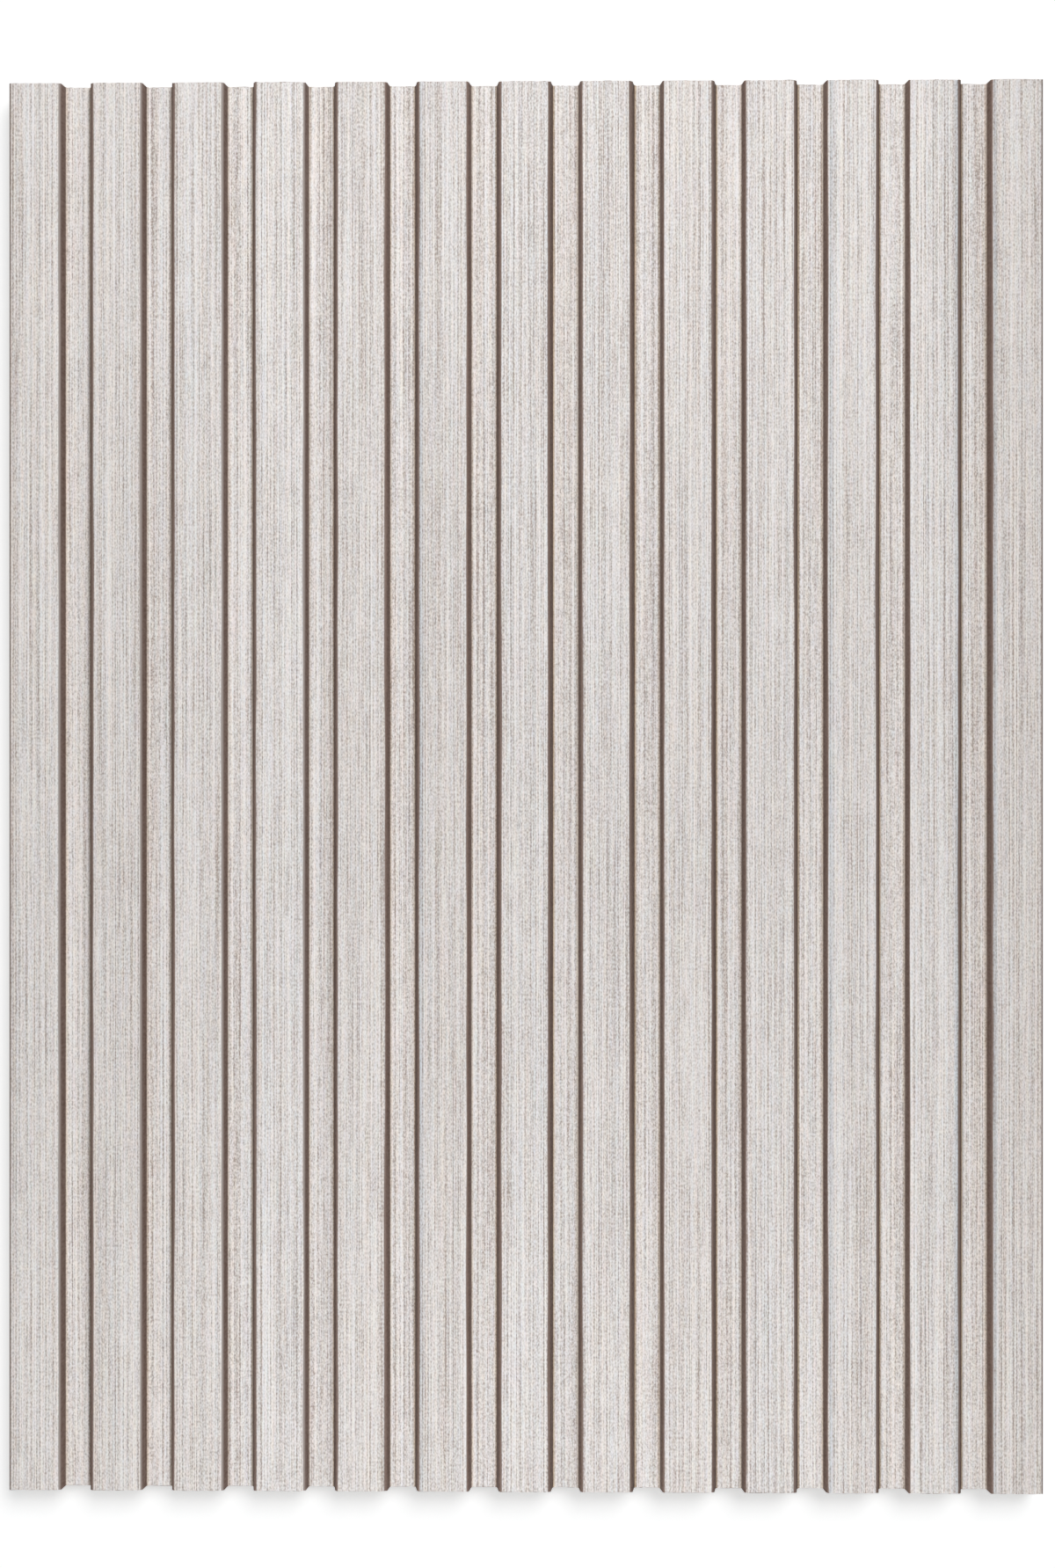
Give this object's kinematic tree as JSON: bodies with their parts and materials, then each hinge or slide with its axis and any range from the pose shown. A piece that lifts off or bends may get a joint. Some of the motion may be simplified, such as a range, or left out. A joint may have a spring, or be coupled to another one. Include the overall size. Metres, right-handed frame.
{
  "type": "ribbed wall panel",
  "caption": "Rectangular wood-based wall board with wide flat ribs and narrower coved grooves along its length, a flat back to glue to a wall and square sawn ends.",
  "frame": {"origin": "centre of the flat back face, on the surface that the board lies on", "axes": "+X across the ribs, +Y along the ribs, +Z out of the back towards the rib faces"},
  "size_m": [0.4396, 0.6, 0.016],
  "materials": {
    "board": "matte pale greige fine-line oak, darker brown on the groove walls"
  },
  "bodies": {
    "root": {"ribbed_panel": "board"}
  },
  "joints": []
}
